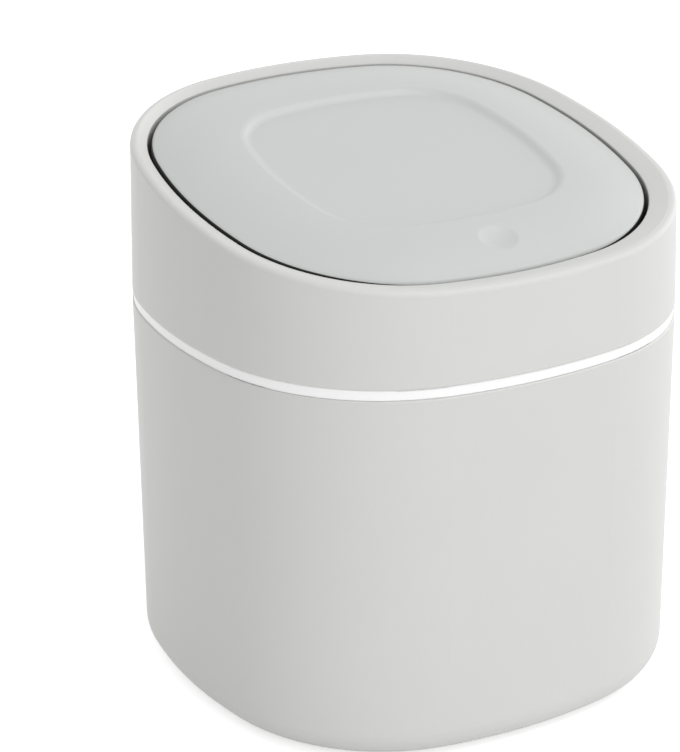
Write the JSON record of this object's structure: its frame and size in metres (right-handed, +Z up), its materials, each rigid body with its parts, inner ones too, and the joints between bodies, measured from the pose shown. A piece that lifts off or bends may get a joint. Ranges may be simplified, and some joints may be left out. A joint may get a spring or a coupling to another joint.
{
  "type": "push top countertop bin",
  "caption": "Rounded-square countertop bin with a lift-off sloping collar, a bag ring and a flush crowned lid that opens on a rear pin when it is pressed and let go.",
  "frame": {"origin": "on the supporting surface, under the middle of the base", "axes": "+Z up, front (the lid's pressed edge) towards -Y, hinge towards +Y, +X to the right seen from the front"},
  "size_m": [0.15, 0.15, 0.1648],
  "materials": {
    "body_plastic": "fine satin-matte moulded",
    "lid_plastic": "fine satin-matte moulded",
    "ring_plastic": "smooth white moulded",
    "frame_plastic": "matte moulded",
    "cover_plastic": "matte moulded",
    "latch_plastic": "smooth natural acetal",
    "pad_rubber": "soft non-slip",
    "screw_steel": "zinc plated",
    "pin_steel": "ground bright",
    "spring_steel": "drawn wire"
  },
  "bodies": {
    "bucket": {"bucket": "body_plastic", "foot_pads": "pad_rubber"},
    "ring": {"bag_ring": "ring_plastic"},
    "collar": {"collar": "body_plastic", "inner_frame": "frame_plastic", "frame_screws": "screw_steel", "latch_housing": "latch_plastic", "latch_screws": "screw_steel", "latch_follower": "spring_steel", "latch_spring": "spring_steel", "torsion_spring_left": "spring_steel", "torsion_spring_right": "spring_steel"},
    "press": {"hinge_pin": "pin_steel", "pin_clips": "spring_steel", "latch_jaws": "latch_plastic"},
    "lid": {"lid_panel": "lid_plastic", "lid_cover": "cover_plastic", "lid_screws": "screw_steel", "lid_striker": "latch_plastic", "striker_screws": "screw_steel"},
    "latch": {"latch_slider": "latch_plastic"}
  },
  "joints": [
    {"name": "ring_lift", "type": "slide", "parent": "bucket", "child": "ring", "axis": [0, 0, 1], "range_m": [0, 0.03]},
    {"name": "collar_lift", "type": "slide", "parent": "ring", "child": "collar", "axis": [0, 0, 1], "range_m": [0, 0.03]},
    {"name": "lid_press", "type": "hinge", "parent": "collar", "child": "press", "pos_m": [0, 0.0538, 0.15872], "axis": [1, 0, 0], "range_deg": [-0.6, 1.4], "stiffness_Nm_per_rad": 6.3, "springref_deg": -0.32, "deforming": ["torsion_spring_left", "torsion_spring_right", "latch_spring", "latch_follower", "latch_jaws"]},
    {"name": "lid_hinge", "type": "hinge", "parent": "press", "child": "lid", "pos_m": [0, 0.0538, 0.15872], "axis": [-1, 0, 0], "range_deg": [0, 70], "deforming": ["torsion_spring_left", "torsion_spring_right", "latch_jaws"]},
    {"name": "latch_slide", "type": "slide", "parent": "collar", "child": "latch", "axis": [0, 0.1587, -0.9873], "range_m": [-0.0013, 0.0029], "deforming": ["latch_spring", "latch_follower"]}
  ],
  "couplings": [
    {"joint": "latch_slide", "follows": "lid_press", "m_per_rad": 0.10871}
  ]
}
